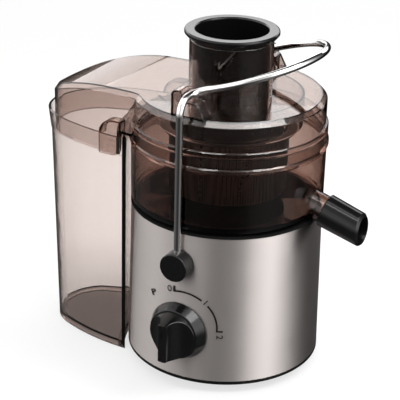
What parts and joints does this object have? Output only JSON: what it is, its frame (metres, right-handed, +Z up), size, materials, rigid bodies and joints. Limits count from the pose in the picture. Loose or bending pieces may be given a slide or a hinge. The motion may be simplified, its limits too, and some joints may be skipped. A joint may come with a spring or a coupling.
{
  "type": "centrifugal juicer",
  "caption": "Table-top centrifugal juicer: steel motor body, clear smoky bowl and lid with feed chute, pusher, wire locking bail, spout nozzle and side pulp container.",
  "frame": {"origin": "middle of the part's footprint box, at the height of the table it stands on", "axes": "+Z up along the spindle, -Y towards the speed knob at the front, +X towards the spout, so the pulp container is at -X"},
  "size_m": [0.2978, 0.2072, 0.2956],
  "materials": {
    "smoky_plastic": "clear, tinted brown grey, glossy",
    "brushed_steel": "fine satin brushing that runs round the body",
    "stainless": "bright",
    "black_gloss": "glossy black",
    "black_satin": "satin black",
    "chrome_wire": "polished chrome plate",
    "black_rubber": "matt",
    "white_plastic": "moulded, satin",
    "lamination": "varnished laminations",
    "copper": "enamelled copper",
    "aluminium": "die cast",
    "bearing_bronze": "sintered bronze",
    "carbon": "matt carbon",
    "zinc_screw": "zinc plated"
  },
  "bodies": {
    "machine": {"base_pan": "black_satin", "rubber_feet": "black_rubber", "base_screws": "zinc_screw", "steel_sleeve": "brushed_steel", "motor_chassis": "black_satin", "shaft_seal": "black_rubber", "motor_stator": "lamination", "field_coils": "copper", "upper_bracket": "aluminium", "lower_bracket": "aluminium", "stator_bolts": "zinc_screw", "upper_bearing": "bearing_bronze", "lower_bearing": "bearing_bronze", "motor_bushes": "black_rubber", "motor_screws": "zinc_screw", "brush_holders": "white_plastic", "carbon_brushes": "carbon", "juice_bowl": "smoky_plastic", "juice_spout": "smoky_plastic", "guide_ring": "smoky_plastic", "feed_chute": "smoky_plastic", "pulp_hood": "smoky_plastic", "pulp_container": "smoky_plastic", "lid": "smoky_plastic", "pivot_bushes": "white_plastic", "interlock_switch": "black_satin", "rotary_switch": "black_satin", "switch_nut": "zinc_screw", "cord_gland": "black_rubber"},
    "rotor": {"motor_shaft": "stainless", "armature_core": "lamination", "armature_windings": "copper", "commutator": "copper", "cooling_fan": "white_plastic", "drive_coupling": "white_plastic", "basket_hub": "black_satin", "filter_basket": "stainless", "grater_disc": "stainless"},
    "bail": {"locking_bail": "chrome_wire", "front_pivot_knob": "black_gloss", "rear_pivot_knob": "black_gloss", "pivot_pins": "stainless", "pivot_clips": "zinc_screw", "interlock_cam": "white_plastic"},
    "plunger": {"interlock_plunger": "white_plastic"},
    "selector": {"control_knob": "black_gloss", "switch_spindle": "stainless"},
    "food_pusher": {"pusher": "black_gloss"},
    "nozzle": {"spout_nozzle": "black_gloss"}
  },
  "joints": [
    {"name": "rotor_spin", "type": "hinge", "parent": "machine", "child": "rotor", "pos_m": [0.02305, 0.0082, 0.1], "axis": [0, 0, 1], "continuous": true},
    {"name": "bail_swing", "type": "hinge", "parent": "machine", "child": "bail", "pos_m": [0.02305, 0.0082, 0.1174], "axis": [0, 1, 0], "range_deg": [0, 90]},
    {"name": "plunger_rise", "type": "slide", "parent": "machine", "child": "plunger", "axis": [0, 0, 1], "range_m": [0, 0.0026]},
    {"name": "knob_turn", "type": "hinge", "parent": "machine", "child": "selector", "pos_m": [0.02305, -0.0756, 0.0547], "axis": [0, 1, 0], "range_deg": [-38, 90]},
    {"name": "pusher_lift", "type": "slide", "parent": "machine", "child": "food_pusher", "axis": [0, 0, 1], "range_m": [0, 0.125]},
    {"name": "nozzle_pull", "type": "slide", "parent": "machine", "child": "nozzle", "axis": [0.9548, 0, -0.2974], "range_m": [0, 0.016]}
  ],
  "couplings": [
    {"joint": "plunger_rise", "follows": "bail_swing", "m_per_rad": 0.0015915}
  ]
}
